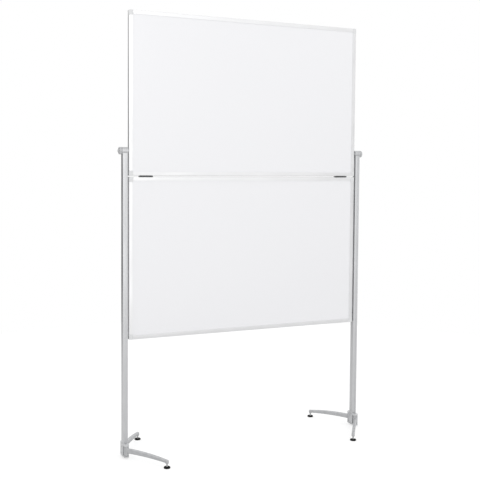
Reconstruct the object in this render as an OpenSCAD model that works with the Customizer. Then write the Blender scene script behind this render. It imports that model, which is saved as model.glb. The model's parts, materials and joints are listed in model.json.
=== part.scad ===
// Folding presentation whiteboard on two slim posts with fold-in legs.
// +X runs along the board, -Y is the front, +Z is up, and the origin is on the
// floor at the middle of the object.

/* [Board] */
// Width of the board over its frame
board_w = 1200; // [900:10:1500]
// Height of one of the two equal panels
panel_h = 750; // [600:10:900]
// Height of the lower edge of the board above the floor
board_z = 548; // [450:1:650]
// Thickness of the board over its frame
board_t = 20; // [18:1:24]
// Gap between the two panels, which holds the hinge leaves
seam_gap = 4; // [4:0.5:6]
// Width of the frame rails seen from the front
rail_face = 18; // [16:1:24]
// Wall of the aluminium frame rails
rail_wall = 1.6; // [1.4:0.1:2]
// Thickness of each enamelled steel sheet
sheet_t = 0.5; // [0.4:0.1:1]
// Distance between neighbouring ribs of the core
rib_pitch = 40; // [30:5:60]

/* [Posts] */
// Width of a post, seen from the front
post_w = 24; // [22:1:30]
// Depth of a post, from front to back
post_d = 28; // [26:1:34]
// Wall of the post extrusion
post_wall = 2; // [1.8:0.1:2.5]
// Free gap between the board and each post
post_gap = 6; // [6:0.5:8]
// Height of the clamping bolts above the floor
clamp_z = 1416; // [1400:1:1440]
// Diameter of the clamping knobs
knob_d = 34; // [33:1:36]

/* [Legs and feet] */
// Distance from the pivot of a leg to its foot
leg_len = 229; // [200:1:280]
// Angle between an open leg and the board
leg_open = 55; // [45:1:70]
// Width of a leg seen from above
leg_w = 15; // [14:1:16]
// Diameter of the levelling feet
pad_d = 30; // [26:1:34]
// Thickness of the levelling feet
pad_t = 6.5; // [6:0.5:8]

/* [Hinges] */
// Length of a hinge barrel
hinge_len = 63; // [50:1:80]
// Distance from the side of the board to the middle of a hinge
hinge_inset = 81; // [60:1:120]
// Diameter of a hinge barrel
barrel_d = 7; // [6.5:0.5:8]

/* [Hidden] */
$fn = 48;

eps = 0.01;            // overshoot of a cut past a face
fit = 0.05;            // radial clearance of a running fit
half_w = board_w / 2;
half_t = board_t / 2;
upper_z = board_z + panel_h + seam_gap;
seam_z = board_z + panel_h + seam_gap / 2;

// frame rails: a closed box outside and a channel for the sandwich inside
slot_t = board_t - 2 * rail_wall;      // opening of the channel
box_u = 8;                             // depth of the closed box
rail_r = 2;                            // rounding of the outer edges
cap_w = rail_face + 2;                 // corner cap along X
cap_h = rail_face + 6;                 // corner cap along Z
cap_r = 4;                             // rounding of the board's corner
tongue_len = 14;                       // of a corner cap, inside a rail
tongue_gap = 0.2;
sheet_in = box_u + 0.2;                // edge of the sheets from the board's edge
core_t = slot_t - 2 * sheet_t;
rib_t = 2.4;

// posts
post_in = half_w + post_gap;           // inner face of a post
post_out = post_in + post_w;
post_bottom = 10;
post_top = clamp_z - 10;               // under the round clamp cap
groove_w = 6;
groove_t = 0.8;
plug_flange = 2;                       // below the post
plug_len = 52;                         // inside the post

// clamps
bolt_r = 4;
bolt_bore = bolt_r + 0.1;
head_r = 17;                           // round clamp cap on top of a post
head_in = post_in - 3;                 // its face towards the board
head_out = post_out + 2;
spigot_len = 36;                       // of a clamp cap, inside the post
spigot_root = 1;                       // of the spigot, inside the cap's round head
spacer_r = 9;
spacer_gap = 0.3;                      // between a spacer and the board
washer_r = 16;
washer_t = 1.5;
neck_r = 13;                           // neck of a knob, against the washer
neck_t = 0.5;
knob_t = 10.5;
hub_r = 7;                             // hub on the outer face of a knob
hub_t = 5.5;
knob_in = head_out + washer_t;
knob_head = knob_in + neck_t;
knob_out = knob_head + knob_t;
knob_web = 4;                          // over the end of the bolt
flutes = 8;
insert_r = 6;
bolt_in = half_w - box_u + 1;          // inner end of a bolt
bolt_out = knob_out - knob_web;

// clips that hold the lower panel
clip_z = board_z + 48;
clip_t = 5;
clip_h = 10;
clip_front = 8;
clip_back = 9;
stud_r = 3;
clip_slot_r = stud_r + 0.4;
clip_screw_y = 6.2;
clip_screw_r = 1.2;
clip_screw_len = 9;
clip_head_r = 2 * clip_screw_r;
clip_head_t = 1.2;

// hinges
barrel_r = barrel_d / 2;
hinge_y = -half_t - barrel_r - 0.2;    // axis in front of the frame
hinge_x = half_w - hinge_inset;
pin_r = 1.5;
leaf_t = 1.6;
leaf_back = 6;
leaf_gap = 0.1;                        // from a leaf's step to the frame's front
knuckles = 5;
knuckle_gap = 0.3;
knuckle_web = barrel_r + 1;            // from a knuckle's axis back to its leaf
screw_x = 20;                          // hinge screws from the middle of a hinge
screw_y = -1;
screw_r = 1.9;
screw_head_r = 3.2;
screw_head_t = 1.2;
screw_tip = 6.2;                       // screw tip inside the rail's box

// base brackets and legs
base_z = 8;
base_h = 59;
plate_t = 2;                           // of a base bracket, against the post
base_out = post_out + plate_t;
ear_r = post_w / 2;
lower_ear = [7, 14];
upper_ear = [58, 67];
barrel_z = [14.5, 57.5];
leg_barrel_r = ear_r - 0.5;
pivot_x = post_in + ear_r;
pivot_y = post_d / 2 + plate_t + ear_r;
leg_pin_r = 4;
leg_pin_low = 6;                       // lower end of a pin
leg_head_r = 5.5;
leg_head_t = 1.8;
base_screw_r = 3;
base_screw_len = 14;                   // inside the post
base_head_r = 5;
base_head_t = 2.5;
base_screw_zs = [24, 52];
plug_gap = 0.1;
leg_root = [27, 49.5];                 // underside and top of an arm at its root
leg_tip = [23, 37];                    // underside and top of an arm at its tip
leg_arch = [4, 6];                     // rise of the underside and top at mid length
tip_r = 8;
tip_low = 21;                          // underside of the boss at the tip
foot_x = pivot_x - leg_len * cos(leg_open);
foot_y = pivot_y + leg_len * sin(leg_open);

// levelling feet
foot_r = 4;
foot_top = 31;
socket_r = 6;
socket_z = [1.6, 4.2];
bore_top = 35.5;
pad_edge = 1;                          // chamfer round the sole
pad_top_edge = 2;

alu = "gainsboro";
steel = "silver";
dark = "dimgray";
white = "whitesmoke";
black = "black";

// points on an arc about a centre
function arc(c, r, a0, a1, n = 5) =
    [for (i = [0 : n]) let (a = a0 + (a1 - a0) * i / n) [c[0] + r * cos(a), c[1] + r * sin(a)]];

// ---- placing ----
// side is -1 on the left and 1 on the right; end is -1 at the front and 1 at the back
module on_side(side) {
    mirror([side < 0 ? 1 : 0, 0, 0]) children();
}

module on_leg(side, end) {
    on_side(side) mirror([0, end < 0 ? 1 : 0, 0]) children();
}

// a cylinder along +X from a point
module rod_x(p, r, len) {
    translate(p) rotate([0, 90, 0]) cylinder(r = r, h = len);
}

// ---- frame of a panel ----
module rail_profile() {
    difference() {
        polygon(concat(
            arc([rail_r, -half_t + rail_r], rail_r, 180, 270),
            [[rail_face, -half_t], [rail_face, half_t]],
            arc([rail_r, half_t - rail_r], rail_r, 90, 180)));
        translate([rail_wall, -slot_t / 2])
            square([box_u - 2 * rail_wall, slot_t]);
        translate([box_u, -slot_t / 2])
            square([rail_face, slot_t]);
    }
}

module rail(len) {
    linear_extrude(len) rail_profile();
}

// side rail on the right of a panel whose lower edge is at z
module side_rail(z) {
    mirror([1, 0, 0])
        translate([-half_w, 0, z + cap_h]) rail(panel_h - 2 * cap_h);
}

module top_rail(z) {
    translate([-half_w + cap_w, 0, z + panel_h])
        rotate([0, 90, 0]) rail(board_w - 2 * cap_w);
}

module bottom_rail(z) {
    translate([-half_w + cap_w, 0, z])
        mirror([0, 0, 1]) rotate([0, 90, 0]) rail(board_w - 2 * cap_w);
}

// corner cap at the lower left of a panel, with its outer corner at the origin
module corner_cap() {
    tongue_u = rail_wall + tongue_gap;
    tongue_w = box_u - 2 * rail_wall - 2 * tongue_gap;
    tongue_t = slot_t - 2 * tongue_gap;
    difference() {
        rotate([90, 0, 0])
            translate([0, 0, -half_t])
                linear_extrude(board_t)
                    polygon(concat(
                        arc([cap_r, cap_r], cap_r, 180, 270),
                        [[cap_w, 0], [cap_w, cap_h], [0, cap_h]]));
        translate([box_u, -slot_t / 2, box_u]) cube([cap_w, slot_t, cap_h]);
    }
    translate([cap_w, -tongue_t / 2, tongue_u]) cube([tongue_len, tongue_t, tongue_w]);
    translate([tongue_u, -tongue_t / 2, cap_h]) cube([tongue_w, tongue_t, tongue_len]);
}

module corner_caps(z) {
    color(alu)
        for (side = [-1, 1])
            on_side(side) {
                mirror([1, 0, 0]) translate([-half_w, 0, z]) corner_cap();
                mirror([1, 0, 0]) translate([-half_w, 0, z + panel_h])
                    mirror([0, 0, 1]) corner_cap();
            }
}

module sheet(z, end) {
    y = end < 0 ? -slot_t / 2 : slot_t / 2 - sheet_t;
    color(white)
        translate([-half_w + sheet_in, y, z + sheet_in])
            cube([board_w - 2 * sheet_in, sheet_t, panel_h - 2 * sheet_in]);
}

module core(z) {
    rib_span = board_w - 2 * rail_face;
    ribs = floor(rib_span / rib_pitch);
    color("burlywood")
        for (i = [0 : ribs])
            translate([(i - ribs / 2) * rib_pitch - rib_t / 2, -core_t / 2, z + sheet_in])
                cube([rib_t, core_t, panel_h - 2 * sheet_in]);
}

// holes of the hinge screws in the rail that faces the seam
module hinge_screw_spots() {
    for (side = [-1, 1], x = [-screw_x, screw_x])
        translate([side * hinge_x + x, screw_y, seam_z]) children();
}

// ---- upper panel ----
module upper_top_rail() {
    color(alu) top_rail(upper_z);
}

module upper_bottom_rail() {
    color(alu)
        difference() {
            bottom_rail(upper_z);
            hinge_screw_spots() cylinder(r = screw_r + fit, h = box_u);
        }
}

module upper_side_rail(side) {
    color(alu)
        on_side(side)
            difference() {
                side_rail(upper_z);
                rod_x([half_w - box_u - eps, 0, clamp_z], insert_r, box_u + 2 * eps);
            }
}

module clamp_inserts() {
    color(steel)
        for (side = [-1, 1])
            on_side(side)
                difference() {
                    rod_x([half_w - box_u, 0, clamp_z], insert_r, box_u);
                    rod_x([half_w - box_u - eps, 0, clamp_z], bolt_bore, box_u + 2 * eps);
                }
}

// ---- lower panel ----
module lower_top_rail() {
    color(alu)
        difference() {
            top_rail(board_z);
            hinge_screw_spots() mirror([0, 0, 1]) cylinder(r = screw_r + fit, h = box_u);
        }
}

module lower_bottom_rail() {
    color(alu) bottom_rail(board_z);
}

module lower_side_rail(side) {
    color(alu)
        on_side(side)
            difference() {
                side_rail(board_z);
                rod_x([half_w - box_u - eps, 0, clip_z], stud_r, box_u + 2 * eps);
            }
}

module side_studs() {
    color(steel)
        for (side = [-1, 1])
            on_side(side)
                rod_x([half_w - box_u, 0, clip_z], stud_r, box_u + clip_t);
}

// ---- hinges ----
// One leaf with its knuckles: first is 0 on the upper leaf and 1 on the lower leaf.
// It is drawn above the axis, with its middle at the origin.
module hinge_leaf(first) {
    step = hinge_len / knuckles;
    leaf_z = seam_gap / 2 - leaf_t;
    difference() {
        union() {
            translate([-hinge_len / 2, -half_t + leaf_gap - hinge_y, leaf_z])
                cube([hinge_len, half_t - leaf_gap + leaf_back, leaf_t]);
            for (i = [first : 2 : knuckles - 1]) {
                x = -hinge_len / 2 + i * step + knuckle_gap / 2;
                rod_x([x, 0, 0], barrel_r, step - knuckle_gap);
                translate([x, 0, leaf_z])
                    cube([step - knuckle_gap, knuckle_web, leaf_t]);
            }
        }
        rod_x([-hinge_len, 0, 0], pin_r + fit, 2 * hinge_len);
        for (x = [-screw_x, screw_x])
            translate([x, screw_y - hinge_y, leaf_z - eps]) {
                cylinder(r = screw_head_r + fit, h = screw_head_t + 2 * eps);
                cylinder(r = screw_r + fit, h = leaf_t + 2 * eps);
            }
    }
}

module upper_hinge_leaves() {
    color(dark)
        for (side = [-1, 1])
            translate([side * hinge_x, hinge_y, seam_z]) hinge_leaf(0);
}

module lower_hinge_leaves() {
    color(dark)
        for (side = [-1, 1])
            translate([side * hinge_x, hinge_y, seam_z]) mirror([0, 0, 1]) hinge_leaf(1);
}

module hinge_pins() {
    color(steel)
        for (side = [-1, 1])
            rod_x([side * hinge_x - hinge_len / 2, hinge_y, seam_z], pin_r, hinge_len);
}

module hinge_screws(up) {
    color(steel)
        hinge_screw_spots()
            mirror([0, 0, up ? 0 : 1])
                translate([0, 0, seam_gap / 2 - leaf_t]) {
                    cylinder(r = screw_head_r, h = screw_head_t);
                    cylinder(r = screw_r, h = leaf_t + screw_tip);
                }
}

// ---- posts ----
module post_profile() {
    difference() {
        polygon(concat(
            arc([post_in + rail_r, -post_d / 2 + rail_r], rail_r, 180, 270),
            arc([post_out - rail_r, -post_d / 2 + rail_r], rail_r, 270, 360),
            arc([post_out - rail_r, post_d / 2 - rail_r], rail_r, 0, 90),
            arc([post_in + rail_r, post_d / 2 - rail_r], rail_r, 90, 180)));
        translate([post_in + post_wall, -post_d / 2 + post_wall])
            square([post_w - 2 * post_wall, post_d - 2 * post_wall]);
        for (end = [-1, 1])
            translate([post_in + post_w / 2 - groove_w / 2, end * post_d / 2 - groove_t])
                square([groove_w, 2 * groove_t]);
    }
}

module post() {
    color(alu)
        difference() {
            translate([0, 0, post_bottom])
                linear_extrude(post_top - post_bottom) post_profile();
            for (z = base_screw_zs)
                rod_x([post_out - 2 * post_wall, 0, z], base_screw_r + fit, 3 * post_wall);
            rod_x([post_in - eps, clip_screw_y, clip_z], clip_screw_r + fit, 2 * post_wall);
        }
}

module post_plug() {
    plug_w = post_w - 2 * post_wall - 2 * plug_gap;
    plug_d = post_d - 2 * post_wall - 2 * plug_gap;
    color(dark)
        difference() {
            union() {
                translate([post_in, -post_d / 2, post_bottom - plug_flange])
                    cube([post_w, post_d, plug_flange]);
                translate([post_in + post_wall + plug_gap, -plug_d / 2, post_bottom])
                    cube([plug_w, plug_d, plug_len]);
            }
            for (z = base_screw_zs)
                rod_x([post_out - base_screw_len - post_wall, 0, z], base_screw_r + fit, 2 * base_screw_len);
        }
}

// round cap that sits on a post, with a spigot inside it, and carries the bolt
module clamp_cap() {
    spigot_w = post_w - 2 * post_wall - 2 * plug_gap;
    spigot_d = post_d - 2 * post_wall - 2 * plug_gap;
    color(alu)
        difference() {
            union() {
                difference() {
                    rod_x([head_in, 0, clamp_z], head_r, head_out - head_in);
                    translate([post_in, -head_r, clamp_z - head_r - eps])
                        cube([post_w, 2 * head_r, post_top - clamp_z + head_r + eps]);
                }
                translate([post_in + post_wall + plug_gap, -spigot_d / 2, post_top - spigot_len])
                    cube([spigot_w, spigot_d, spigot_len + spigot_root]);
            }
            rod_x([head_in - eps, 0, clamp_z], bolt_bore, head_out - head_in + 2 * eps);
        }
}

module spacer() {
    spacer_t = head_in - half_w - spacer_gap;
    color(steel)
        difference() {
            rod_x([head_in - spacer_t, 0, clamp_z], spacer_r, spacer_t);
            rod_x([half_w, 0, clamp_z], bolt_bore, post_gap);
        }
}

// U-shaped clip, open to the front, that holds a side stud of the lower panel
module clip() {
    clip_x = post_in - clip_t;
    color(alu)
        difference() {
            translate([clip_x, -clip_front, clip_z - clip_h / 2])
                cube([clip_t, clip_front + clip_back, clip_h]);
            rod_x([clip_x - eps, 0, clip_z], clip_slot_r, clip_t + 2 * eps);
            translate([clip_x - eps, -clip_front - eps, clip_z - clip_slot_r])
                cube([clip_t + 2 * eps, clip_front + eps, 2 * clip_slot_r]);
            rod_x([clip_x - eps, clip_screw_y, clip_z], clip_screw_r + fit, clip_t + 2 * eps);
            rod_x([clip_x - eps, clip_screw_y, clip_z], clip_head_r + fit, clip_head_t + eps);
        }
}

module clip_screws() {
    color(steel)
        for (side = [-1, 1])
            on_side(side) {
                rod_x([post_in - clip_t, clip_screw_y, clip_z], clip_head_r, clip_head_t);
                rod_x([post_in - clip_t, clip_screw_y, clip_z], clip_screw_r, clip_screw_len);
            }
}

// ---- base ----
module ear(zs) {
    translate([0, 0, zs[0]])
        linear_extrude(zs[1] - zs[0]) {
            translate([pivot_x, pivot_y]) circle(r = ear_r);
            translate([pivot_x - ear_r, post_d / 2]) square([2 * ear_r, pivot_y - post_d / 2]);
        }
}

// thin plate round three sides of the post, with two ears in front and two behind
module base_bracket() {
    half_d = post_d / 2 + plate_t;
    color(alu)
        difference() {
            union() {
                translate([post_in, -half_d, base_z])
                    cube([base_out - post_in, 2 * half_d, base_h]);
                for (end = [-1, 1])
                    mirror([0, end < 0 ? 1 : 0, 0]) {
                        ear(lower_ear);
                        ear(upper_ear);
                    }
            }
            translate([post_in - eps, -post_d / 2, base_z - eps])
                cube([post_w + eps, post_d, base_h + 2 * eps]);
            for (end = [-1, 1])
                translate([pivot_x, end * pivot_y, 0])
                    cylinder(r = leg_pin_r, h = upper_ear[1] + eps);
            for (z = base_screw_zs)
                rod_x([post_out - eps, 0, z], base_screw_r + fit, plate_t + 2 * eps);
        }
}

module base_screws() {
    color(steel)
        for (side = [-1, 1], z = base_screw_zs)
            on_side(side) {
                rod_x([post_out - base_screw_len, 0, z], base_screw_r, base_out - post_out + base_screw_len);
                rod_x([base_out, 0, z], base_head_r, base_head_t);
            }
}

module leg_pins() {
    color(steel)
        for (side = [-1, 1], end = [-1, 1])
            on_leg(side, end)
                translate([pivot_x, pivot_y, 0]) {
                    translate([0, 0, leg_pin_low])
                        cylinder(r = leg_pin_r, h = upper_ear[1] - leg_pin_low);
                    translate([0, 0, upper_ear[1]])
                        cylinder(r = leg_head_r, h = leg_head_t);
                }
}

// ---- legs and feet ----
// height of the underside (i = 0) or the top (i = 1) of an arm at t from root to tip
function arm_z(i, t) = leg_root[i] + (leg_tip[i] - leg_root[i]) * t + 4 * leg_arch[i] * t * (1 - t);

module leg(side, end) {
    steps = 12;
    color(alu)
        on_leg(side, end)
            translate([pivot_x, pivot_y, 0])
                rotate([0, 0, 180 - leg_open])
                    difference() {
                        union() {
                            rotate([90, 0, 0])
                                translate([0, 0, -leg_w / 2])
                                    linear_extrude(leg_w)
                                        polygon(concat(
                                            [for (i = [0 : steps])
                                                [leg_len * i / steps, arm_z(0, i / steps)]],
                                            [for (i = [steps : -1 : 0])
                                                [leg_len * i / steps, arm_z(1, i / steps)]]));
                            translate([0, 0, barrel_z[0]])
                                cylinder(r = leg_barrel_r, h = barrel_z[1] - barrel_z[0]);
                            translate([leg_len, 0, tip_low])
                                cylinder(r = tip_r, h = leg_tip[1] - tip_low);
                        }
                        cylinder(r = leg_pin_r + fit, h = upper_ear[1]);
                        translate([leg_len, 0, 0])
                            cylinder(r = foot_r + fit, h = bore_top);
                    }
}

module foot_stud(side, end) {
    color(steel)
        on_leg(side, end)
            translate([foot_x, foot_y, 0]) {
                translate([0, 0, socket_z[0]])
                    cylinder(r = foot_r, h = foot_top - socket_z[0]);
                translate([0, 0, socket_z[0]])
                    cylinder(r = socket_r, h = socket_z[1] - socket_z[0]);
            }
}

module foot_pad(side, end) {
    pad_r = pad_d / 2;
    color(black)
        on_leg(side, end)
            translate([foot_x, foot_y, 0])
                rotate_extrude()
                    polygon([
                        [0, 0], [pad_r - pad_edge, 0], [pad_r, pad_edge], [pad_r, pad_t - pad_top_edge],
                        [pad_r - pad_top_edge, pad_t], [foot_r + fit, pad_t],
                        [foot_r + fit, socket_z[1] + fit], [socket_r + fit, socket_z[1] + fit],
                        [socket_r + fit, socket_z[0] - fit], [0, socket_z[0] - fit]]);
}

// ---- clamping knobs ----
module clamp_washer() {
    color(steel)
        difference() {
            rod_x([head_out, 0, clamp_z], washer_r, washer_t);
            rod_x([head_out - eps, 0, clamp_z], bolt_bore, washer_t + 2 * eps);
        }
}

module clamp_bolt() {
    color(steel) rod_x([bolt_in, 0, clamp_z], bolt_r, bolt_out - bolt_in);
}

module knob() {
    knob_r = knob_d / 2;
    face = neck_t + knob_t;
    back_r = 1;
    rim_r = 2;
    hub_edge = 1.5;
    flute_r = 3;
    flute_depth = 1;
    color(alu)
        translate([knob_in, 0, clamp_z])
            rotate([0, 90, 0])
                difference() {
                    rotate_extrude()
                        polygon(concat(
                            [[bolt_r, 0], [neck_r, 0], [neck_r, neck_t]],
                            arc([knob_r - back_r, neck_t + back_r], back_r, -90, 0),
                            arc([knob_r - rim_r, face - rim_r], rim_r, 0, 90),
                            [[hub_r, face]],
                            arc([hub_r - hub_edge, face + hub_t - hub_edge], hub_edge, 0, 90),
                            [[0, face + hub_t], [0, face - knob_web], [bolt_r, face - knob_web]]));
                    for (i = [0 : flutes - 1])
                        rotate([0, 0, (i + 0.5) * 360 / flutes])
                            translate([knob_r + flute_r - flute_depth, 0, neck_t - eps])
                                cylinder(r = flute_r, h = knob_t + 2 * eps);
                }
}

on_side(-1) post();  // left_post
on_side(1) post();  // right_post
on_side(-1) post_plug();  // left_post_plug
on_side(1) post_plug();  // right_post_plug
on_side(-1) clamp_cap();  // left_clamp_cap
on_side(1) clamp_cap();  // right_clamp_cap
on_side(-1) spacer();  // left_spacer
on_side(1) spacer();  // right_spacer
on_side(-1) base_bracket();  // left_base_bracket
on_side(1) base_bracket();  // right_base_bracket
base_screws();
leg_pins();
on_side(-1) clip();  // left_clip
on_side(1) clip();  // right_clip
clip_screws();
sheet(upper_z, -1);  // upper_front_sheet
sheet(upper_z, 1);  // upper_back_sheet
core(upper_z);  // upper_core
upper_top_rail();
upper_bottom_rail();
upper_side_rail(-1);  // upper_left_rail
upper_side_rail(1);  // upper_right_rail
corner_caps(upper_z);  // upper_corner_caps
clamp_inserts();
upper_hinge_leaves();
hinge_pins();
hinge_screws(true);  // upper_hinge_screws
sheet(board_z, -1);  // lower_front_sheet
sheet(board_z, 1);  // lower_back_sheet
core(board_z);  // lower_core
lower_top_rail();
lower_bottom_rail();
lower_side_rail(-1);  // lower_left_rail
lower_side_rail(1);  // lower_right_rail
corner_caps(board_z);  // lower_corner_caps
side_studs();
lower_hinge_leaves();
hinge_screws(false);  // lower_hinge_screws
on_side(-1) clamp_washer();  // left_clamp_washer
on_side(1) clamp_washer();  // right_clamp_washer
on_side(-1) clamp_bolt();  // left_clamp_bolt
on_side(1) clamp_bolt();  // right_clamp_bolt
on_side(-1) knob();  // left_knob
on_side(1) knob();  // right_knob
leg(-1, -1);  // left_front_leg
leg(-1, 1);  // left_back_leg
leg(1, -1);  // right_front_leg
leg(1, 1);  // right_back_leg
foot_pad(-1, -1);  // left_front_pad
foot_pad(-1, 1);  // left_back_pad
foot_pad(1, -1);  // right_front_pad
foot_pad(1, 1);  // right_back_pad
foot_stud(-1, -1);  // left_front_stud
foot_stud(-1, 1);  // left_back_stud
foot_stud(1, -1);  // right_front_stud
foot_stud(1, 1);  // right_back_stud
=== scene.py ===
"""Folding whiteboard on two aluminium posts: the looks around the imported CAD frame.
Metres, +Z up, -Y to the front."""

import json
import math

import bmesh
import bpy
from mathutils import Matrix, Vector


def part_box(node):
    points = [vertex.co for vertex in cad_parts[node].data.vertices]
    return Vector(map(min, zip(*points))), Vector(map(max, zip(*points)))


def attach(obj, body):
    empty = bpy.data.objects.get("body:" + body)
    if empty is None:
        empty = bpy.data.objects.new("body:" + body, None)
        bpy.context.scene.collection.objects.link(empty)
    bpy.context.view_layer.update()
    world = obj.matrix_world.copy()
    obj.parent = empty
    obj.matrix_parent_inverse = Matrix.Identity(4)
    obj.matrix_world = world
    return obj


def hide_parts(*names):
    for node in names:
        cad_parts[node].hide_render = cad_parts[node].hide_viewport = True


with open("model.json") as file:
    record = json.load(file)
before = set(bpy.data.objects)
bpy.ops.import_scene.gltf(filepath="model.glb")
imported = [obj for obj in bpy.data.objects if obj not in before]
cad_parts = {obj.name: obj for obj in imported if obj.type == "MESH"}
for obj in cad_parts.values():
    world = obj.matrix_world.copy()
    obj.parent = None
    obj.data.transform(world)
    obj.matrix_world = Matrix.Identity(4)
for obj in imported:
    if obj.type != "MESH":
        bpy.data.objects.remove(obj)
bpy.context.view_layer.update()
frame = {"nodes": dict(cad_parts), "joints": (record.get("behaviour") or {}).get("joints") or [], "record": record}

MM = 0.001
NODES = frame["nodes"]
SIDES = {"left": -1, "right": 1}
ENDS = {"front": -1, "back": 1}
CORNERS = [(side, end) for side in SIDES for end in ENDS]
JOINTS = {joint["name"]: joint for joint in frame["joints"]}

# The camera's place in metres, its yaw to the right, pitch down and roll in degrees, its focal length in mm
# and its shift in picture widths.
CAMERA_SPOT = (-1.738, -3.7153, 1.3482)
CAMERA_ANGLES = (24.501, 3.15, 0.41)
CAMERA_FOCAL = 63.298
CAMERA_SHIFT = (0.0024, -0.0564)

# Light from the surround at the horizon, as (bearing, level). Bearing 0 is behind the board, 90 is to its
# right, -90 to its left and 180 in front of it.
HORIZON_LEVELS = [
    (-180, 1.5), (-135, 1.0), (-99, 1.2), (-84, 0.95), (-60, 0.5), (-33, 0.18), (-15, 0.14),
    (20, 0.8), (50, 1.7), (90, 1.0), (145, 0.72), (165, 1.55), (180, 1.5),
]
SKY_LEVEL = 1.1                  # light from above
SKY_RISE = (0.02, 0.34)          # heights between which the horizon's light turns into the sky's
FLOOR_RADIUS = 3.2
FLOOR_GLOW = (0.4, 0.62)         # the floor's own light where the object sees it, and where the camera does

PAD_INSET = 0.01 * MM            # keeps a pad's round rim inside the CAD box
THREAD_PITCH = 1.25 * MM
LEG_WIDTH = 14.6 * MM
LEG_BORE = 4.05 * MM             # radius of the bores for the pin and the stud
LEG_PIN_BORE_TOP = 67 * MM
LEG_STUD_BORE_TOP = 35.5 * MM
LEG_BARREL = (14.5 * MM, 57.5 * MM, 11.45 * MM)      # lowest, highest, radius
LEG_TIP = (21.1 * MM, 36.9 * MM, 7.9 * MM)           # lowest, highest, radius
LEG_UNDERSIDE = (27.1, 23.1, 4)  # height in mm at the root and the tip, and how far it arches up between
LEG_TOP = (49.4, 36.6, 6)
LEG_ROUNDING = 0.42              # exponent of the arm's section: 1 is an ellipse, near 0 a rectangle
KNOB_DIPS = 8
KNOB_DIP_DEPTH = 0.045           # share of the radius
KNOB_FACE = 11 * MM              # height of the rim's face above the inner face


# ---- materials ----

class Graph:
    """The node graph of one material, with short calls for the nodes that the materials share."""

    def __init__(self, name, colour, roughness, metallic=0.0):
        self.material = bpy.data.materials.new(name)
        self.material.use_nodes = True
        self.tree = self.material.node_tree
        self.shader = self.tree.nodes["Principled BSDF"]
        self.shader.inputs["Base Color"].default_value = (*colour, 1)
        self.shader.inputs["Roughness"].default_value = roughness
        self.shader.inputs["Metallic"].default_value = metallic
        self.place = self.add("ShaderNodeTexCoord").outputs["Object"]
        self.colour = colour

    def add(self, kind, **inputs):
        node = self.tree.nodes.new(kind)
        for name, value in inputs.items():
            node.inputs[name.replace("_", " ")].default_value = value
        return node

    def link(self, output, target):
        self.tree.links.new(output, target)

    def noise(self, scale, detail=2.0, stretch=(1, 1, 1), distortion=0.0):
        """Noise from 0 to 1. Scale is in features per metre; stretch above 1 packs them closer on an axis."""
        mapping = self.add("ShaderNodeMapping", Scale=stretch)
        self.link(self.place, mapping.inputs["Vector"])
        texture = self.add("ShaderNodeTexNoise", Scale=scale, Detail=detail, Distortion=distortion)
        self.link(mapping.outputs["Vector"], texture.inputs["Vector"])
        return texture.outputs["Fac"]

    def spread(self, value, low, high, start=0.0, stop=1.0):
        """Value between start and stop, mapped to low and high."""
        ramp = self.add("ShaderNodeMapRange", From_Min=start, From_Max=stop, To_Min=low, To_Max=high)
        self.link(value, ramp.inputs["Value"])
        return ramp.outputs["Result"]

    def tint(self, value, other):
        """Base colour from the material's own colour at 0 to the other at 1."""
        mix = self.add("ShaderNodeMix")
        mix.data_type = "RGBA"
        mix.inputs["A"].default_value = (*self.colour, 1)
        mix.inputs["B"].default_value = (*other, 1)
        self.link(value, mix.inputs["Factor"])
        self.link(mix.outputs["Result"], self.shader.inputs["Base Color"])

    def rough(self, value):
        self.link(value, self.shader.inputs["Roughness"])

    def bump(self, value, distance, strength=1.0):
        node = self.add("ShaderNodeBump", Distance=distance, Strength=strength)
        self.link(value, node.inputs["Height"])
        earlier = self.shader.inputs["Normal"].links
        if earlier:
            self.link(earlier[0].from_socket, node.inputs["Normal"])
        self.link(node.outputs["Normal"], self.shader.inputs["Normal"])


def shaded(colour, share):
    return tuple(channel * share for channel in colour)


def extruded_aluminium(name, colour, along, roughness=0.36):
    """Satin anodised extrusion: fine die lines along its length, a soft bloom and a few handling rubs."""
    graph = Graph(name, colour, roughness, metallic=1.0)
    lines_stretch = [1, 1, 1]
    lines_stretch[along] = 0.012
    lines = graph.noise(1900, detail=3, stretch=lines_stretch)
    rubs_stretch = [1, 1, 1]
    rubs_stretch[along] = 0.16
    rubs = graph.noise(34, detail=5, stretch=rubs_stretch, distortion=0.6)
    bloom = graph.noise(5.5, detail=4)
    graph.rough(graph.spread(rubs, roughness - 0.05, roughness + 0.1, 0.35, 0.7))
    graph.tint(graph.spread(bloom, 0.0, 1.0, 0.3, 0.75), shaded(colour, 0.94))
    graph.bump(lines, 0.00001, 0.5)
    graph.bump(graph.noise(900, detail=2), 0.000006, 0.35)
    graph.shader.inputs["Anisotropic"].default_value = 0.35
    return graph.material


def cast_aluminium(name, colour, roughness=0.48):
    """Tumbled and lacquered die casting: a fine pebbled skin with soft dull patches."""
    graph = Graph(name, colour, roughness, metallic=0.92)
    pebble = graph.noise(1500, detail=4)
    patches = graph.noise(45, detail=5, distortion=0.4)
    graph.rough(graph.spread(patches, roughness - 0.07, roughness + 0.1, 0.3, 0.7))
    graph.tint(graph.spread(patches, 0.0, 1.0, 0.4, 0.8), shaded(colour, 0.88))
    graph.bump(pebble, 0.00003, 0.55)
    graph.bump(graph.noise(160, detail=3), 0.00006, 0.3)
    graph.shader.inputs["Coat Weight"].default_value = 0.12
    graph.shader.inputs["Coat Roughness"].default_value = 0.3
    return graph.material


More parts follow.
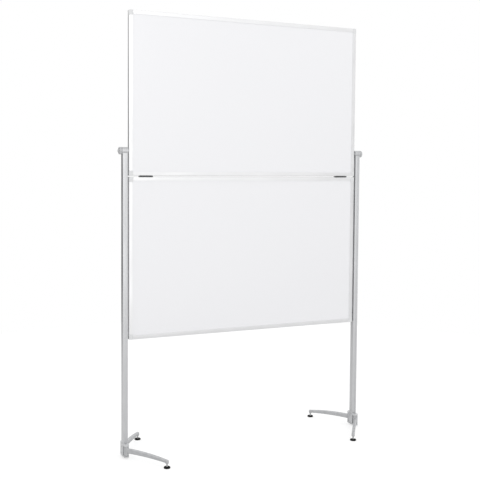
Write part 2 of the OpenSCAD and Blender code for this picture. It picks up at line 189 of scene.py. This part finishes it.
def writing_enamel(name, colour):
    """Fired enamel on steel: glossy, with a faint orange peel and slow changes in its gloss and tint."""
    graph = Graph(name, colour, 0.25)
    wiped = graph.noise(3, detail=1, stretch=(0.6, 1, 1.2))
    film = graph.noise(1.6, detail=1)
    peel = graph.noise(230, detail=2)
    graph.rough(graph.spread(wiped, 0.23, 0.29))
    graph.tint(film, (colour[0] * 0.985, colour[1] * 0.986, colour[2] * 0.99))
    graph.bump(peel, 0.000012, 0.3)
    graph.shader.inputs["Specular IOR Level"].default_value = 0.5
    graph.shader.inputs["Coat Weight"].default_value = 0.35
    graph.shader.inputs["Coat Roughness"].default_value = 0.12
    return graph.material


def moulded_plastic(name, colour, roughness=0.42, grain=1100):
    """Injection moulded plastic: spark-eroded grain, slight flow marks and polished high spots."""
    graph = Graph(name, colour, roughness)
    sparks = graph.noise(grain, detail=4)
    flow = graph.noise(60, detail=4, distortion=1.4)
    graph.rough(graph.spread(flow, roughness - 0.08, roughness + 0.08, 0.3, 0.7))
    graph.tint(graph.spread(flow, 0.0, 1.0, 0.35, 0.8), shaded(colour, 0.93))
    graph.bump(sparks, 0.00003, 0.6)
    graph.shader.inputs["Specular IOR Level"].default_value = 0.45
    return graph.material


def foot_rubber(name, colour):
    """Black rubber: dull, finely grained, with a little dust."""
    graph = Graph(name, colour, 0.72)
    dust = graph.noise(130, detail=6, distortion=0.3)
    graph.tint(graph.spread(dust, 0.0, 0.35, 0.55, 0.8), (0.03, 0.0295, 0.0285))
    graph.rough(graph.spread(dust, 0.62, 0.85, 0.3, 0.7))
    graph.bump(graph.noise(1700, detail=4), 0.00004, 0.6)
    graph.shader.inputs["Specular IOR Level"].default_value = 0.12
    return graph.material


def plated_steel(name, colour):
    """Bright zinc plating over turned steel: a thin mottled film with a cool and a warm tint."""
    graph = Graph(name, colour, 0.3, metallic=1.0)
    mottle = graph.noise(240, detail=5, distortion=0.5)
    graph.rough(graph.spread(mottle, 0.24, 0.42, 0.3, 0.75))
    graph.tint(graph.spread(mottle, 0.0, 1.0, 0.35, 0.75),
               (colour[0] * 0.9, colour[1] * 0.88, colour[2] * 0.82))
    graph.bump(graph.noise(2400, detail=2), 0.00001, 0.5)
    return graph.material


def painted_steel(name, colour):
    """Dark stoved paint on pressed steel, rubbed a little where the knuckles turn."""
    graph = Graph(name, colour, 0.42)
    rubbed = graph.noise(420, detail=5, distortion=0.3)
    graph.tint(graph.spread(rubbed, 0.0, 0.6, 0.6, 0.85), (0.2, 0.2, 0.21))
    graph.rough(graph.spread(rubbed, 0.36, 0.55, 0.3, 0.7))
    graph.bump(graph.noise(1300, detail=3), 0.00002, 0.5)
    graph.shader.inputs["Metallic"].default_value = 0.3
    return graph.material


def core_board(name, colour):
    """Grey-brown core board with pressed fibres."""
    graph = Graph(name, colour, 0.85)
    fibres = graph.noise(500, detail=6, stretch=(1, 1, 0.15))
    graph.tint(graph.spread(fibres, 0.0, 1.0, 0.3, 0.7), shaded(colour, 0.75))
    graph.rough(graph.spread(fibres, 0.78, 0.92, 0.3, 0.7))
    graph.bump(fibres, 0.00008, 0.5)
    return graph.material


def make_materials():
    """One material for each slot of the record; rails get one for each direction of their grain."""
    frame_grey = (0.78, 0.782, 0.788)
    return {
        "post_aluminium": extruded_aluminium("post_aluminium", (0.62, 0.625, 0.635), along=2),
        "frame_aluminium": extruded_aluminium("frame_upright", frame_grey, along=2, roughness=0.34),
        "frame_level": extruded_aluminium("frame_level", frame_grey, along=0, roughness=0.34),
        "corner_plastic": moulded_plastic("corner_plastic", (0.68, 0.685, 0.69)),
        "writing_enamel": writing_enamel("writing_enamel", (0.79, 0.79, 0.805)),
        "core_board": core_board("core_board", (0.5, 0.4, 0.28)),
        "clamp_casting": cast_aluminium("clamp_casting", (0.55, 0.555, 0.565), roughness=0.42),
        "bracket_casting": cast_aluminium("bracket_casting", (0.66, 0.665, 0.675)),
        "leg_casting": cast_aluminium("leg_casting", (0.52, 0.525, 0.535)),
        "foot_rubber": foot_rubber("foot_rubber", (0.004, 0.004, 0.0045)),
        "zinc_steel": plated_steel("zinc_steel", (0.6, 0.61, 0.63)),
        "hinge_steel": painted_steel("hinge_steel", (0.07, 0.07, 0.073)),
        "plug_plastic": moulded_plastic("plug_plastic", (0.03, 0.03, 0.032), roughness=0.5),
        "knob_plastic": moulded_plastic("knob_plastic", (0.46, 0.465, 0.475), roughness=0.36),
    }


MATERIALS = make_materials()
SLOTS = {row["node"]: row["material_slot"] for row in frame["record"]["subparts"]}
LEVEL_RAILS = ("top_rail", "bottom_rail")


def dress(piece, slot):
    """Gives a piece its material."""
    piece.data.materials.clear()
    piece.data.materials.append(MATERIALS[slot])


# ---- meshes ----

def piece_of(name, mesh_data, smooth_angle=35):
    """A new object from a bmesh, with smooth shading up to that angle."""
    bmesh.ops.recalc_face_normals(mesh_data, faces=mesh_data.faces)
    mesh = bpy.data.meshes.new(name)
    for face in mesh_data.faces:
        face.smooth = True
    limit = math.radians(smooth_angle)
    for edge in mesh_data.edges:
        edge.smooth = len(edge.link_faces) == 2 and edge.calc_face_angle(0) < limit
    mesh_data.to_mesh(mesh)
    mesh_data.free()
    piece = bpy.data.objects.new(name, mesh)
    bpy.context.scene.collection.objects.link(piece)
    return piece


def add_lathe(mesh_data, profile, place=Matrix.Identity(4), segments=64, shape=None):
    """Adds a solid of revolution about local Z. The profile's (radius, height) points run from axis to axis,
    or round a ring if no point is on the axis; shape(index, angle) may change the radius of a point."""
    rings = []
    for index, (radius, height) in enumerate(profile):
        if radius == 0:
            rings.append([mesh_data.verts.new(place @ Vector((0, 0, height)))])
            continue
        ring = []
        for step in range(segments):
            angle = 2 * math.pi * step / segments
            reach = radius * (shape(index, angle) if shape else 1)
            point = Vector((reach * math.cos(angle), reach * math.sin(angle), height))
            ring.append(mesh_data.verts.new(place @ point))
        rings.append(ring)
    is_ring = all(len(ring) > 1 for ring in rings)
    pairs = list(zip(rings, rings[1:])) + ([(rings[-1], rings[0])] if is_ring else [])
    for low, high in pairs:
        for step in range(segments):
            after = (step + 1) % segments
            corners = [low[step % len(low)], low[after % len(low)],
                       high[after % len(high)], high[step % len(high)]]
            mesh_data.faces.new(list(dict.fromkeys(corners)))


def arc(centre, radius, start, stop, steps=5):
    """Points on an arc in a profile; angles in degrees."""
    angles = [math.radians(start + (stop - start) * step / steps) for step in range(steps + 1)]
    return [(centre[0] + radius * math.cos(a), centre[1] + radius * math.sin(a)) for a in angles]


def hexagon(angle):
    """Radius of a hexagon at an angle, for an inner circle of 1."""
    return 1 / math.cos((angle + math.pi / 6) % (math.pi / 3) - math.pi / 6)


def outward(side, point=(0, 0, 0)):
    """Places a lathe so that its Z points away from the board on that side."""
    return Matrix.Translation(point) @ Matrix.Rotation(SIDES[side] * math.pi / 2, 4, "Y")


def copy_of(node):
    """A CAD node's mesh as a bmesh with its split vertices joined."""
    mesh_data = bmesh.new()
    mesh_data.from_mesh(NODES[node].data)
    bmesh.ops.remove_doubles(mesh_data, verts=mesh_data.verts, dist=1e-6)
    return mesh_data


def with_modifiers(piece, settings):
    """Applies modifiers, given as (type, values), to a piece's mesh."""
    for kind, values in settings:
        modifier = piece.modifiers.new(kind.lower(), kind)
        for key, value in values.items():
            setattr(modifier, key, value)
    graph = bpy.context.evaluated_depsgraph_get()
    mesh = bpy.data.meshes.new_from_object(piece.evaluated_get(graph))
    piece.modifiers.clear()
    piece.data = mesh
    for polygon in mesh.polygons:
        polygon.use_smooth = True
    return piece


def softened(node, name, voxel=0.8 * MM, rounds=5, keep=0.4):
    """A CAD node with the rounded edges and filled corners of a casting or moulding."""
    piece = piece_of(name, copy_of(node))
    with_modifiers(piece, [
        ("REMESH", {"mode": "VOXEL", "voxel_size": voxel}),
        ("SMOOTH", {"iterations": rounds, "factor": 0.5}),
        ("DECIMATE", {"ratio": keep}),
    ])
    return piece


# ---- pieces that stand for CAD nodes ----

def finish_piece(piece, body, *nodes):
    """Rides the piece on its body in place of CAD nodes, with the material of the first one."""
    slot = SLOTS[nodes[0]]
    dress(piece, slot)
    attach(piece, body)
    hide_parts(*nodes)
    return piece


def make_castings():
    """Brackets, clamp caps and clips: cast shapes with soft edges."""
    for side in SIDES:
        for part, voxel in (("base_bracket", 0.55 * MM), ("clamp_cap", 0.7 * MM), ("clip", 0.35 * MM)):
            node = f"{side}_{part}"
            finish_piece(softened(node, f"{side}_cast_{part}", voxel), "stand", node)


def make_corner_caps():
    """Moulded corners of the two frames."""
    for panel in ("upper", "lower"):
        node = f"{panel}_corner_caps"
        piece = softened(node, f"{panel}_moulded_corners", voxel=0.7 * MM, rounds=4, keep=0.35)
        finish_piece(piece, f"{panel}_panel", node)


def leg_height(curve, t):
    """Height of the arm's underside or top at t from root to tip."""
    root, tip, arch = curve
    return (root + (tip - root) * t + arch * (4 * t * (1 - t))) * MM


def squared(value):
    """A sine or cosine pushed towards 1 or -1, which makes a round section squarish."""
    return math.copysign(abs(value) ** LEG_ROUNDING, value)


def make_leg_mesh(length):
    """One cast leg with its pivot at the origin: an arched arm between a barrel and a rounded tip."""
    mesh_data = bmesh.new()
    steps, sides = 48, 32
    half = LEG_WIDTH / 2
    rings = []
    for step in range(steps + 1):
        t = step / steps
        low, high = leg_height(LEG_UNDERSIDE, t), leg_height(LEG_TOP, t)
        middle, rise = (low + high) / 2, (high - low) / 2
        ring = []
        for side in range(sides):
            angle = 2 * math.pi * (side + 0.5) / sides
            across, up = squared(math.cos(angle)), squared(math.sin(angle))
            ring.append(mesh_data.verts.new((length * t, half * across, middle + rise * up)))
        rings.append(ring)
    for low, high in zip(rings, rings[1:]):
        for side in range(sides):
            after = (side + 1) % sides
            mesh_data.faces.new((low[side], low[after], high[after], high[side]))
    mesh_data.faces.new(reversed(rings[0]))
    mesh_data.faces.new(rings[-1])
    barrel_low, barrel_high, barrel_r = LEG_BARREL
    edge = 0.8 * MM
    add_lathe(mesh_data, [(0, barrel_low), (barrel_r - edge, barrel_low), (barrel_r, barrel_low + edge),
                          (barrel_r, barrel_high - edge), (barrel_r - edge, barrel_high), (0, barrel_high)])
    tip_low, tip_high, tip_r = LEG_TIP
    crown = 4 * MM
    profile = [(0, tip_low), (tip_r - edge, tip_low), (tip_r, tip_low + edge)]
    profile += arc((tip_r - crown, tip_high - crown), crown, 0, 90) + [(0, tip_high)]
    add_lathe(mesh_data, profile, Matrix.Translation((length, 0, 0)))
    piece = piece_of("leg_pattern", mesh_data)
    with_modifiers(piece, [
        ("REMESH", {"mode": "VOXEL", "voxel_size": 0.85 * MM}),
        ("SMOOTH", {"iterations": 8, "factor": 0.5}),
        ("DECIMATE", {"ratio": 0.22}),
    ])
    return piece


def cut_bore(piece, radius, low, high, centre):
    """Cuts an upright round bore through a piece."""
    cutter_data = bmesh.new()
    add_lathe(cutter_data, [(0, low), (radius, low), (radius, high), (0, high)], Matrix.Translation(centre),
              segments=48)
    cutter = piece_of("cutter", cutter_data)
    with_modifiers(piece, [("BOOLEAN", {"object": cutter, "operation": "DIFFERENCE", "solver": "EXACT"})])
    bpy.data.objects.remove(cutter)


def make_legs():
    """The four legs are one casting, turned about its pivot to each corner."""
    pivots = {corner: Vector(JOINTS[f"{corner[0]}_{corner[1]}_leg_swing"]["pos_m"]) for corner in CORNERS}
    feet = {corner: sum(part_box(f"{corner[0]}_{corner[1]}_pad"), Vector()) / 2 for corner in CORNERS}
    first = CORNERS[0]
    arm = feet[first] - pivots[first]
    length = arm.to_2d().length
    pattern = make_leg_mesh(length)
    cut_bore(pattern, LEG_BORE, 0.0, LEG_PIN_BORE_TOP, (0, 0, 0))
    cut_bore(pattern, LEG_BORE, 0.0, LEG_STUD_BORE_TOP, (length, 0, 0))
    for polygon in pattern.data.polygons:
        polygon.use_smooth = True
    for corner in CORNERS:
        name = f"{corner[0]}_{corner[1]}"
        arm = feet[corner] - pivots[corner]
        place = Matrix.Translation((pivots[corner].x, pivots[corner].y, 0)) \
            @ Matrix.Rotation(math.atan2(arm.y, arm.x), 4, "Z")
        mesh = pattern.data.copy()
        mesh.transform(place)
        piece = bpy.data.objects.new(f"{name}_cast_leg", mesh)
        bpy.context.scene.collection.objects.link(piece)
        finish_piece(piece, f"{name}_leg", f"{name}_leg")
    bpy.data.objects.remove(pattern)


def make_feet():
    """Round rubber pads on threaded studs."""
    for side, end in CORNERS:
        name = f"{side}_{end}"
        low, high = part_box(f"{name}_pad")
        centre = Vector(((low.x + high.x) / 2, (low.y + high.y) / 2, 0))
        radius, height = (high.x - low.x) / 2 - PAD_INSET, high.z
        pad_data = bmesh.new()
        profile = [(0, 0.4 * MM), (9.5 * MM, 0.4 * MM), (10 * MM, 0), (radius - 1.1 * MM, 0)]
        profile += arc((radius - 1.1 * MM, 1.1 * MM), 1.1 * MM, -90, 0)[1:]
        profile += [(radius, 3.2 * MM), (radius - 0.5 * MM, 3.45 * MM), (radius - 0.5 * MM, 3.7 * MM),
                    (radius - 0.15 * MM, 3.95 * MM)]
        profile += arc((radius - 1.85 * MM, height - 1.9 * MM), 1.7 * MM, 0, 80)
        profile += [(8.2 * MM, height - 0.05 * MM), (7.6 * MM, height - 0.5 * MM),
                    (6.6 * MM, height - 0.5 * MM), (6.1 * MM, height), (4.35 * MM, height),
                    (4.05 * MM, height - 0.3 * MM), (4.05 * MM, 4.25 * MM), (6.05 * MM, 4.25 * MM),
                    (6.05 * MM, 1.55 * MM), (0, 1.55 * MM)]
        add_lathe(pad_data, profile, Matrix.Translation(centre), segments=72)
        finish_piece(piece_of(f"{name}_rubber_pad", pad_data), f"{name}_pad", f"{name}_pad")
        make_stud(name, centre)


def make_stud(name, centre):
    """A levelling stud, 8 mm across, with a cut thread above the flange that turns in its pad."""
    crest, root = 3.98 * MM, 3.38 * MM
    low, high = 5.2 * MM, 31 * MM
    segments, per_turn = 32, 8
    rows = int((high - low) / THREAD_PITCH * per_turn)
    mesh_data = bmesh.new()
    rings = []
    for row in range(rows + 1):
        height = low + (high - low) * row / rows
        fade = min(1, (height - low) / THREAD_PITCH, (high - height) / THREAD_PITCH)
        ring = []
        for step in range(segments):
            angle = 2 * math.pi * step / segments
            phase = (height / THREAD_PITCH - step / segments) % 1
            ridge = min(1, 2.4 * (1 - abs(2 * phase - 1)))
            radius = root + (crest - root) * ridge * fade
            point = Vector((radius * math.cos(angle), radius * math.sin(angle), height))
            ring.append(mesh_data.verts.new(centre + point))
        rings.append(ring)
    for lower, upper in zip(rings, rings[1:]):
        for step in range(segments):
            after = (step + 1) % segments
            mesh_data.faces.new((lower[step], lower[after], upper[after], upper[step]))
    mesh_data.faces.new(reversed(rings[0]))
    mesh_data.faces.new(rings[-1])
    add_lathe(mesh_data, [(0, 1.6 * MM), (5.4 * MM, 1.6 * MM), (6 * MM, 2.1 * MM), (6 * MM, 3.6 * MM),
                          (5.4 * MM, 4.2 * MM), (3.9 * MM, 4.2 * MM), (3.9 * MM, 5.1 * MM), (root, 5.6 * MM),
                          (0, 5.6 * MM)], Matrix.Translation(centre), segments=48)
    piece = piece_of(f"{name}_threaded_stud", mesh_data, smooth_angle=50)
    finish_piece(piece, f"{name}_stud", f"{name}_stud")


def make_knobs():
    """Round clamping knobs with eight shallow finger dips, a dished face and a domed hub."""
    for side in SIDES:
        low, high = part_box(f"{side}_knob")
        centre = (low + high) / 2
        inner = low.x if side == "right" else high.x
        radius = (high.z - low.z) / 2 - 0.05 * MM
        depth = high.x - low.x
        profile = [(0, KNOB_FACE - 4 * MM), (4 * MM, KNOB_FACE - 4 * MM), (4 * MM, 0), (12.6 * MM, 0),
                   (12.9 * MM, 0.3 * MM), (12.9 * MM, 0.5 * MM)]
        first_dip = len(profile)
        profile += arc((radius - 1.2 * MM, 1.8 * MM), 1.2 * MM, -90, 0)
        profile += arc((radius - 2.6 * MM, KNOB_FACE - 2.6 * MM), 2.6 * MM, 0, 90)
        last_dip = len(profile) - 1
        profile += [(12.4 * MM, KNOB_FACE - 0.3 * MM), (10 * MM, KNOB_FACE - 1.1 * MM),
                    (8 * MM, KNOB_FACE - 1.2 * MM), (7 * MM, KNOB_FACE - 0.5 * MM),
                    (6.9 * MM, KNOB_FACE + 1 * MM)]
        profile += arc((3.2 * MM, depth - 3.7 * MM), 3.7 * MM, 0, 80, steps=8)
        profile += [(0, depth)]

        def dipped(index, angle):
            if not first_dip <= index <= last_dip:
                return 1
            return 1 - KNOB_DIP_DEPTH * max(0, -math.cos(KNOB_DIPS * angle)) ** 2

        mesh_data = bmesh.new()
        add_lathe(mesh_data, profile, outward(side, (inner, centre.y, centre.z)), segments=128, shape=dipped)
        piece = piece_of(f"{side}_moulded_knob", mesh_data, smooth_angle=60)
        finish_piece(piece, f"{side}_clamp_knob", f"{side}_knob")


def add_socket_screw(mesh_data, place, head_r, head_h, socket_r, shank_r, shank_len, socket_depth):
    """A button head with a hexagon socket on top of local Z = 0, and its shank below."""
    dome = [(head_r, 0.25 * head_h), (head_r * 0.93, 0.6 * head_h), (head_r * 0.76, 0.88 * head_h),
            (head_r * 0.58, head_h)]
    profile = [(0, -shank_len), (shank_r * 0.8, -shank_len), (shank_r, -shank_len + shank_r * 0.2),
               (shank_r, 0), (head_r * 0.97, 0)] + dome
    rim = len(profile)
    profile += [(socket_r * 1.12, head_h), (socket_r, head_h - socket_r * 0.1),
                (socket_r, head_h - socket_depth), (0, head_h - socket_depth * 1.15)]
    add_lathe(mesh_data, profile, place, segments=48,
              shape=lambda index, angle: hexagon(angle) if index > rim else 1)


def solids_of(node):
    """Lowest and highest corners of each separate solid in a CAD node."""
    mesh_data = copy_of(node)
    left, found = set(mesh_data.verts), []
    while left:
        island, front = set(), [left.pop()]
        while front:
            vertex = front.pop()
            island.add(vertex)
            near = [edge.other_vert(vertex) for edge in vertex.link_edges]
            front += [other for other in near if other in left]
            left -= set(near)
        spots = [vertex.co for vertex in island]
        found.append((Vector([min(p[i] for p in spots) for i in range(3)]),
                      Vector([max(p[i] for p in spots) for i in range(3)])))
    mesh_data.free()
    return sorted(found, key=lambda corners: tuple(round(value, 5) for value in corners[0]))


def make_base_screws():
    """Button-head screws through each base bracket into its post."""
    mesh_data = bmesh.new()
    head_h = 2.5 * MM
    for low, high in solids_of("base_screws"):
        side = "left" if low.x < 0 else "right"
        out = low.x + head_h if side == "left" else high.x - head_h
        centre = (low + high) / 2
        add_socket_screw(mesh_data, outward(side, (out, centre.y, centre.z)), head_r=5 * MM, head_h=head_h,
                         socket_r=2 * MM, shank_r=2.98 * MM, shank_len=high.x - low.x - head_h,
                         socket_depth=1.6 * MM)
    finish_piece(piece_of("base_socket_screws", mesh_data), "stand", "base_screws")


def make_leg_pins():
    """Upright pins with a domed socket head above the bracket's ears."""
    mesh_data = bmesh.new()
    head_h = 1.8 * MM
    for low, high in solids_of("leg_pins"):
        centre = (low + high) / 2
        place = Matrix.Translation((centre.x, centre.y, high.z - head_h))
        add_socket_screw(mesh_data, place, head_r=5.5 * MM, head_h=head_h, socket_r=2 * MM,
                         shank_r=3.99 * MM, shank_len=high.z - low.z - head_h, socket_depth=1.2 * MM)
    finish_piece(piece_of("leg_socket_pins", mesh_data), "stand", "leg_pins")


def make_clip_screws():
    """Small countersunk screws that hold the clips, flush with the face towards the board."""
    mesh_data = bmesh.new()
    for low, high in solids_of("clip_screws"):
        side = "left" if low.x < 0 else "right"
        face = high.x if side == "left" else low.x
        centre = (low + high) / 2
        other = "right" if side == "left" else "left"
        head_r = (high.z - low.z) / 2
        place = outward(other, (face, centre.y, centre.z))
        socket = 0.9 * MM
        depth = high.x - low.x
        profile = [(0, -depth), (0.8 * MM, -depth), (1.2 * MM, -8 * MM), (1.2 * MM, -1.2 * MM),
                   (head_r, -0.35 * MM), (head_r, -0.05 * MM), (head_r - 0.05 * MM, 0), (socket * 1.2, 0)]
        rim = len(profile) - 1
        profile += [(socket, -0.1 * MM), (socket, -0.8 * MM), (0, -0.9 * MM)]
        add_lathe(mesh_data, profile, place, segments=36,
                  shape=lambda index, angle, rim=rim: hexagon(angle) if index > rim else 1)
    finish_piece(piece_of("clip_socket_screws", mesh_data), "stand", "clip_screws")


# ---- CAD nodes that stay ----

def keep_cad_nodes():
    """Materials for the CAD nodes that are shown, and smooth shading over their rounded corners."""
    bevels = {"hinge_leaves": 0.25 * MM, "washer": 0.2 * MM, "spacer": 0.2 * MM, "plug": 0.4 * MM,
              "studs": 0.4 * MM}
    for name, node in NODES.items():
        if node.hide_render:
            continue
        slot = SLOTS[name]
        if name.endswith(LEVEL_RAILS):
            slot = "frame_level"
        dress(node, slot)
        for polygon in node.data.polygons:
            polygon.use_smooth = True
        weld = node.modifiers.new("weld", "WELD")
        weld.merge_threshold = 1e-6
        width = next((width for key, width in bevels.items() if key in name), 0)
        if width:
            bevel = node.modifiers.new("bevel", "BEVEL")
            bevel.width = width
            bevel.segments = 2
            bevel.limit_method = "ANGLE"
            bevel.angle_limit = math.radians(50)
            bevel.use_clamp_overlap = True
        split = node.modifiers.new("split", "EDGE_SPLIT")
        split.split_angle = math.radians(35)


# ---- studio ----

def make_world():
    """Soft studio surround, white where it is seen directly. The light it gives changes round the horizon,
    like pale panels with a dark gap between them, and is even above."""
    world = bpy.data.worlds.new("studio")
    bpy.context.scene.world = world
    world.use_nodes = True
    tree = world.node_tree
    tree.nodes.clear()
    add, link = tree.nodes.new, tree.links.new

    def ranged(value, start, stop):
        scale = add("ShaderNodeMapRange")
        scale.inputs["From Min"].default_value = start
        scale.inputs["From Max"].default_value = stop
        link(value, scale.inputs["Value"])
        return scale.outputs["Result"]

    def mixed(factor, first, second):
        mix = add("ShaderNodeMix")
        mix.data_type = "RGBA"
        link(factor, mix.inputs["Factor"])
        link(first, mix.inputs["A"])
        if isinstance(second, tuple):
            mix.inputs["B"].default_value = second
        else:
            link(second, mix.inputs["B"])
        return mix.outputs["Result"]

    direction = add("ShaderNodeSeparateXYZ")
    link(add("ShaderNodeTexCoord").outputs["Generated"], direction.inputs[0])
    turn = add("ShaderNodeMath")
    turn.operation = "ARCTAN2"
    link(direction.outputs["X"], turn.inputs[0])
    link(direction.outputs["Y"], turn.inputs[1])
    ramp = add("ShaderNodeValToRGB")
    link(ranged(turn.outputs[0], -math.pi, math.pi), ramp.inputs["Fac"])
    while len(ramp.color_ramp.elements) < len(HORIZON_LEVELS):
        ramp.color_ramp.elements.new(0.5)
    for element, (bearing, level) in zip(ramp.color_ramp.elements, HORIZON_LEVELS):
        element.position = (bearing + 180) / 360
        element.color = (level, level, level, 1)
    rise = ranged(direction.outputs["Z"], *SKY_RISE)
    surround = mixed(rise, ramp.outputs["Color"], (SKY_LEVEL, SKY_LEVEL, SKY_LEVEL, 1))
    background = add("ShaderNodeBackground")
    seen = add("ShaderNodeLightPath").outputs["Is Camera Ray"]
    link(mixed(seen, surround, (1, 1, 1, 1)), background.inputs["Color"])
    output = add("ShaderNodeOutputWorld")
    link(background.outputs["Background"], output.inputs["Surface"])


def make_floor():
    """A plain pale round floor. It glows where it is seen, so that it stays as pale as the backdrop with
    only faint shadows, and it throws less light up at the object."""
    mesh_data = bmesh.new()
    bmesh.ops.create_circle(mesh_data, cap_ends=True, segments=96, radius=FLOOR_RADIUS)
    floor = piece_of("floor", mesh_data)
    graph = Graph("floor_pale", (0.4, 0.4, 0.4), 0.85)
    graph.rough(graph.spread(graph.noise(6, detail=3), 0.8, 0.9))
    graph.shader.inputs["Specular IOR Level"].default_value = 0.1
    graph.shader.inputs["Emission Color"].default_value = (1, 1, 1, 1)
    seen = graph.add("ShaderNodeLightPath").outputs["Is Camera Ray"]
    graph.link(graph.spread(seen, *FLOOR_GLOW), graph.shader.inputs["Emission Strength"])
    floor.data.materials.append(graph.material)


def make_light(name, place, target, size, power):
    """A soft square area light that points at a target."""
    data = bpy.data.lights.new(name, "AREA")
    data.size = size
    data.energy = power
    light = bpy.data.objects.new(name, data)
    light.location = place
    light.rotation_euler = (Vector(target) - Vector(place)).to_track_quat("-Z", "Y").to_euler()
    bpy.context.scene.collection.objects.link(light)


def make_camera():
    """The photograph's viewpoint: from the left front, a little above the middle of the board."""
    data = bpy.data.cameras.new("camera")
    data.sensor_width = 36
    data.lens = CAMERA_FOCAL
    data.shift_x, data.shift_y = CAMERA_SHIFT
    camera = bpy.data.objects.new("camera", data)
    yaw, pitch, roll = (math.radians(angle) for angle in CAMERA_ANGLES)
    camera.matrix_world = Matrix.Translation(CAMERA_SPOT) @ Matrix.Rotation(-yaw, 4, "Z") \
        @ Matrix.Rotation(math.pi / 2 - pitch, 4, "X") @ Matrix.Rotation(roll, 4, "Z")
    data.clip_start, data.clip_end = 0.05, 100
    bpy.context.scene.collection.objects.link(camera)
    bpy.context.scene.camera = camera


make_camera()
make_castings()
make_corner_caps()
make_legs()
make_feet()
make_knobs()
make_base_screws()
make_leg_pins()
make_clip_screws()
keep_cad_nodes()
make_world()
make_floor()
make_light("front_softbox", (-0.3, -4.6, 3.2), (0, 0, 1.5), 2.6, 16)
bpy.context.scene.view_settings.view_transform = "Standard"
